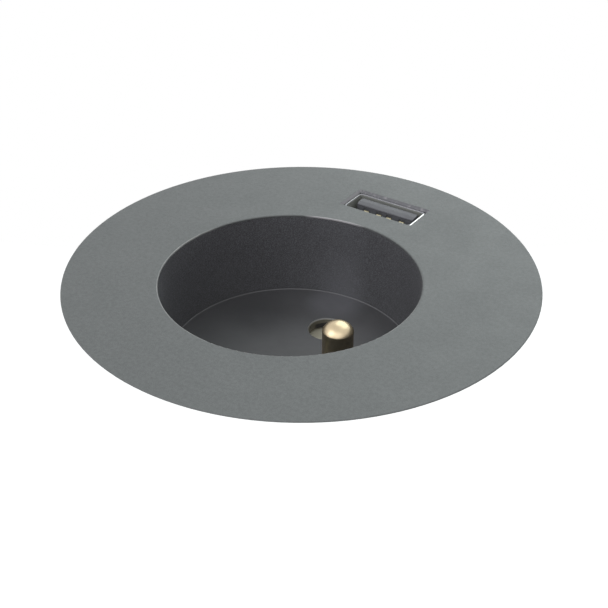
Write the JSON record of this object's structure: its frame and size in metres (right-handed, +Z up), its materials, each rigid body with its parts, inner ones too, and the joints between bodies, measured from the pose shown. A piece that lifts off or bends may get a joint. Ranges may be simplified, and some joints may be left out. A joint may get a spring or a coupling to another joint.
{
  "type": "in-desk power module",
  "caption": "Round desk-mounted power module: an off-centre socket recess with earth pin and a charging port in a flat disc, on a threaded barrel with clamping nut.",
  "frame": {"origin": "centre of the gasket's underside, on the barrel axis, in the plane of the desk's top", "axes": "+Z up out of the desk along the barrel axis, +Y from the recess towards the charging port"},
  "size_m": [0.073, 0.073, 0.0758],
  "materials": {
    "grey_paint": "fine texture, satin",
    "film": "clear adhesive film",
    "seal_rubber": "matt",
    "black_moulding": "fine spark texture",
    "cup_moulding": "spark texture wall, smooth floor",
    "nut_moulding": "satin",
    "plated_steel": "zinc plated",
    "bright_steel": "bright plated",
    "pin_brass": "polished",
    "contact_bronze": "stamped",
    "shutter_moulding": "satin",
    "carrier_moulding": "satin",
    "tongue_moulding": "satin",
    "gold_plate": "gold plated",
    "board_green": "solder mask",
    "block_green": "satin",
    "ferrite": "sintered",
    "winding_tape": "tape",
    "can_sleeve": "sleeved can",
    "fuse_moulding": "satin",
    "blue_coating": "dipped coating",
    "chip_moulding": "matt",
    "gland_moulding": "satin"
  },
  "bodies": {
    "module": {"faceplate": "grey_paint", "plate_adhesive": "film", "flange_gasket": "seal_rubber", "barrel_housing": "black_moulding", "socket_cup": "cup_moulding", "cup_screws": "plated_steel", "earth_pin": "pin_brass", "earth_strap": "contact_bronze", "contact_carrier": "carrier_moulding", "carrier_screws": "plated_steel", "carrier_plate": "carrier_moulding", "line_contact": "contact_bronze", "neutral_contact": "contact_bronze", "contact_clips": "bright_steel", "shutter_pivot": "bright_steel", "shutter_spring": "bright_steel", "usb_shell": "bright_steel", "usb_tongue": "tongue_moulding", "usb_contacts": "gold_plate", "riser_board": "board_green", "main_board": "board_green", "board_screws": "plated_steel", "rear_cover": "black_moulding", "cover_screws": "plated_steel", "gland_body": "gland_moulding", "gland_washer": "seal_rubber", "gland_locknut": "gland_moulding", "gland_seal": "seal_rubber", "gland_nut": "gland_moulding", "terminal_block": "block_green", "terminal_clamps": "plated_steel", "terminal_screws": "plated_steel", "transformer_core": "ferrite", "transformer_winding": "winding_tape", "input_capacitor": "can_sleeve", "output_capacitors": "can_sleeve", "fuse": "fuse_moulding", "varistor": "blue_coating", "bridge_rectifier": "chip_moulding", "controller_chip": "chip_moulding", "output_inductor": "ferrite"},
    "washer": {"clamp_washer": "plated_steel"},
    "nut": {"ring_nut": "nut_moulding"},
    "shutter": {"child_shutter": "shutter_moulding"}
  },
  "joints": [
    {"name": "washer_slide", "type": "slide", "parent": "module", "child": "washer", "axis": [0, 0, 1], "range_m": [-0.0141, 0.0086]},
    {"name": "nut_turn", "type": "hinge", "parent": "washer", "child": "nut", "pos_m": [0, 0, -0.031], "axis": [0, 0, 1], "range_deg": [-1260, 765]},
    {"name": "shutter_turn", "type": "hinge", "parent": "module", "child": "shutter", "pos_m": [0, -0.0031, -0.01485], "axis": [0, 0, 1], "range_deg": [0, 42], "stiffness_Nm_per_rad": 0.0005, "springref_deg": -5.73}
  ],
  "couplings": [
    {"joint": "washer_slide", "follows": "nut_turn", "m_per_rad": 0.00063662}
  ]
}
